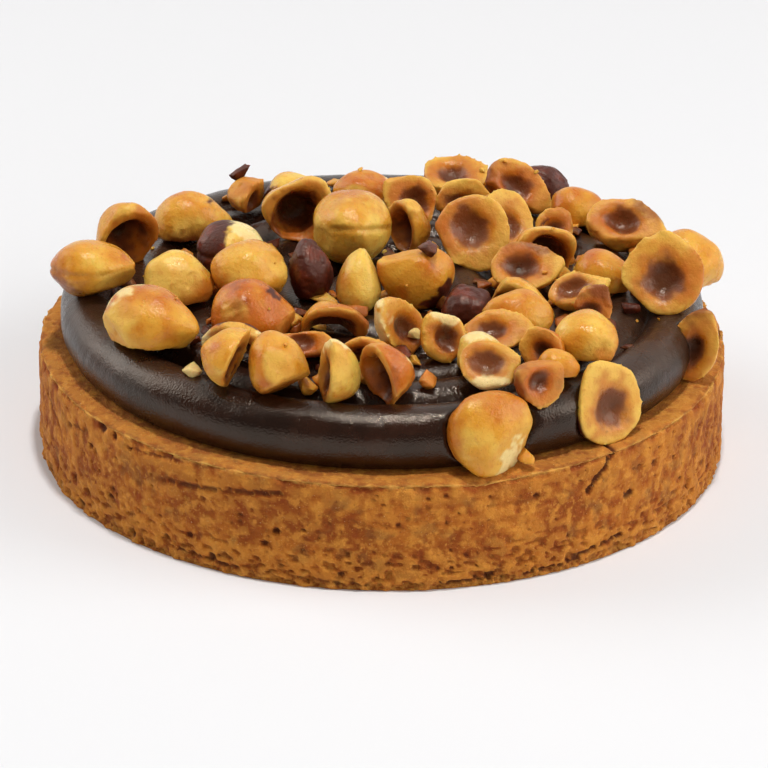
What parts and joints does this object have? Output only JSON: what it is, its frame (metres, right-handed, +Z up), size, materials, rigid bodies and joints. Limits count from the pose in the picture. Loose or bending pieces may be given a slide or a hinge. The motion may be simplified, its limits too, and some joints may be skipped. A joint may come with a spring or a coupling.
{
  "type": "chocolate tart",
  "caption": "Round chocolate tart: upright shortcrust shell, thick rings of piped ganache and a loose heap of chopped roasted hazelnuts.",
  "frame": {"origin": "middle of the flat underside of the shell", "axes": "+Z up through the middle of the round shell, -Y towards the front, where three nuts lean on the rim"},
  "size_m": [0.12, 0.1198, 0.0429],
  "materials": {
    "crust": "baked shortcrust, golden brown, dry, sandy and slightly pitted",
    "ganache": "dark chocolate ganache, soft uneven gloss",
    "nut_kernel": "whole or nearly whole roasted hazelnut, satin",
    "nut_dome": "hazelnut half lying rounded side up, satin",
    "nut_half": "split hazelnut showing its seed hollow, satin",
    "nut_wedge": "chopped hazelnut wedge, satin",
    "nut_bowl": "hollow hazelnut half, dark roasted inside",
    "nut_arch": "curved hazelnut shard, satin",
    "nut_skin": "hazelnut still in its dark brown skin, slightly glossy"
  },
  "bodies": {
    "root": {"shortcrust_shell": "crust", "ganache": "ganache", "kernel_01": "nut_kernel", "bowl_02": "nut_bowl", "dome_03": "nut_dome", "dome_04": "nut_dome", "kernel_05": "nut_kernel", "dome_06": "nut_dome", "dome_07": "nut_dome", "dome_08": "nut_dome", "half_09": "nut_half", "dome_10": "nut_dome", "arch_11": "nut_arch", "wedge_12": "nut_wedge", "half_13": "nut_half", "arch_14": "nut_arch", "arch_15": "nut_arch", "half_16": "nut_half", "bowl_17": "nut_bowl", "kernel_18": "nut_kernel", "skin_19": "nut_skin", "dome_20": "nut_dome", "dome_21": "nut_dome", "skin_22": "nut_skin", "bowl_23": "nut_bowl", "bowl_24": "nut_bowl", "half_25": "nut_half", "half_26": "nut_half", "dome_27": "nut_dome", "wedge_28": "nut_wedge", "dome_29": "nut_dome", "half_30": "nut_half", "half_31": "nut_half", "wedge_32": "nut_wedge", "wedge_33": "nut_wedge", "skin_34": "nut_skin", "half_35": "nut_half", "dome_36": "nut_dome", "wedge_37": "nut_wedge", "dome_38": "nut_dome", "bowl_39": "nut_bowl", "dome_40": "nut_dome", "half_41": "nut_half", "half_42": "nut_half", "arch_43": "nut_arch", "half_44": "nut_half", "wedge_45": "nut_wedge", "dome_46": "nut_dome", "half_47": "nut_half", "half_48": "nut_half", "dome_49": "nut_dome", "dome_50": "nut_dome", "half_51": "nut_half", "half_52": "nut_half", "dome_53": "nut_dome", "wedge_54": "nut_wedge", "half_55": "nut_half", "kernel_56": "nut_kernel", "half_57": "nut_half"}
  },
  "joints": []
}
